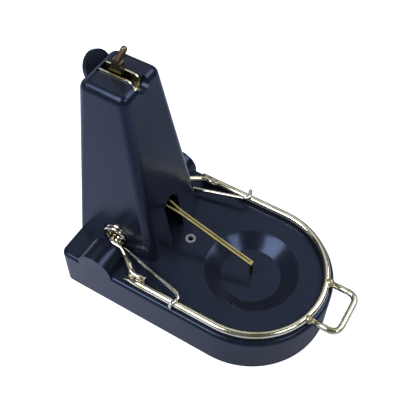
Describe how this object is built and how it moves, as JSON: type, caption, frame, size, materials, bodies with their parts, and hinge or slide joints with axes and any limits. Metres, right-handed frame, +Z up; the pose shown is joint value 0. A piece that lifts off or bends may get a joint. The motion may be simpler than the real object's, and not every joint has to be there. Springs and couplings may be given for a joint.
{
  "type": "snap mouse trap",
  "caption": "Tower snap trap: a sprung U-shaped wire jaw on a moulded base, held open by a catch on a tall tower and released by a baited trigger lever over a dish.",
  "frame": {"origin": "On the floor, midway across the width and midway between the front of the pull handle and the rear wall of the base.", "axes": "+Z up, +Y to the rear where the tower stands, -Y to the front where the pull handle is, +X to the right seen from the handle looking at the tower."},
  "size_m": [0.076, 0.1307, 0.1266],
  "materials": {
    "base_plastic": "glossy moulded, dark slate navy",
    "tower_plastic": "glossy moulded, dark slate navy",
    "bush_plastic": "plain black nylon",
    "jaw_zinc": "yellow-passivated zinc, bright",
    "weld_zinc": "plated weld, duller and browner",
    "spring_steel": "plated spring wire, bright",
    "bracket_zinc": "yellow-passivated zinc sheet",
    "catch_bronze": "dull brown passivated pin",
    "trigger_gold": "golden passivated strip, satin",
    "screw_steel": "plain zinc plate",
    "latch_dark": "dark oiled sheet, satin"
  },
  "bodies": {
    "base": {"base_housing": "base_plastic", "tower_shell": "tower_plastic", "tower_screws": "screw_steel", "left_pivot_bush": "bush_plastic", "right_pivot_bush": "bush_plastic", "latch_bracket": "bracket_zinc", "bracket_rivet": "screw_steel", "latch_pivot_pin": "screw_steel", "trigger_pivot_pin": "screw_steel"},
    "jaw": {"jaw_bar": "jaw_zinc", "left_pivot_arm": "jaw_zinc", "right_pivot_arm": "jaw_zinc", "arm_welds": "weld_zinc", "pull_handle": "jaw_zinc", "handle_welds": "weld_zinc", "left_spring": "spring_steel", "right_spring": "spring_steel", "pivot_retainers": "screw_steel"},
    "latch": {"latch_lever": "latch_dark", "catch_pin": "catch_bronze"},
    "trigger": {"trigger_lever": "trigger_gold"}
  },
  "joints": [
    {"name": "jaw_hinge", "type": "hinge", "parent": "base", "child": "jaw", "pos_m": [0, 0.0448, 0.0295], "axis": [-1, 0, 0], "range_deg": [0, 98.2], "stiffness_Nm_per_rad": 0.15, "springref_deg": -99.98},
    {"name": "latch_tilt", "type": "hinge", "parent": "base", "child": "latch", "pos_m": [0, 0.0508, 0.1075], "axis": [-1, 0, 0], "range_deg": [0, 11]},
    {"name": "trigger_tilt", "type": "hinge", "parent": "base", "child": "trigger", "pos_m": [0, 0.0318, 0.04275], "axis": [-1, 0, 0], "range_deg": [0, 9]}
  ]
}
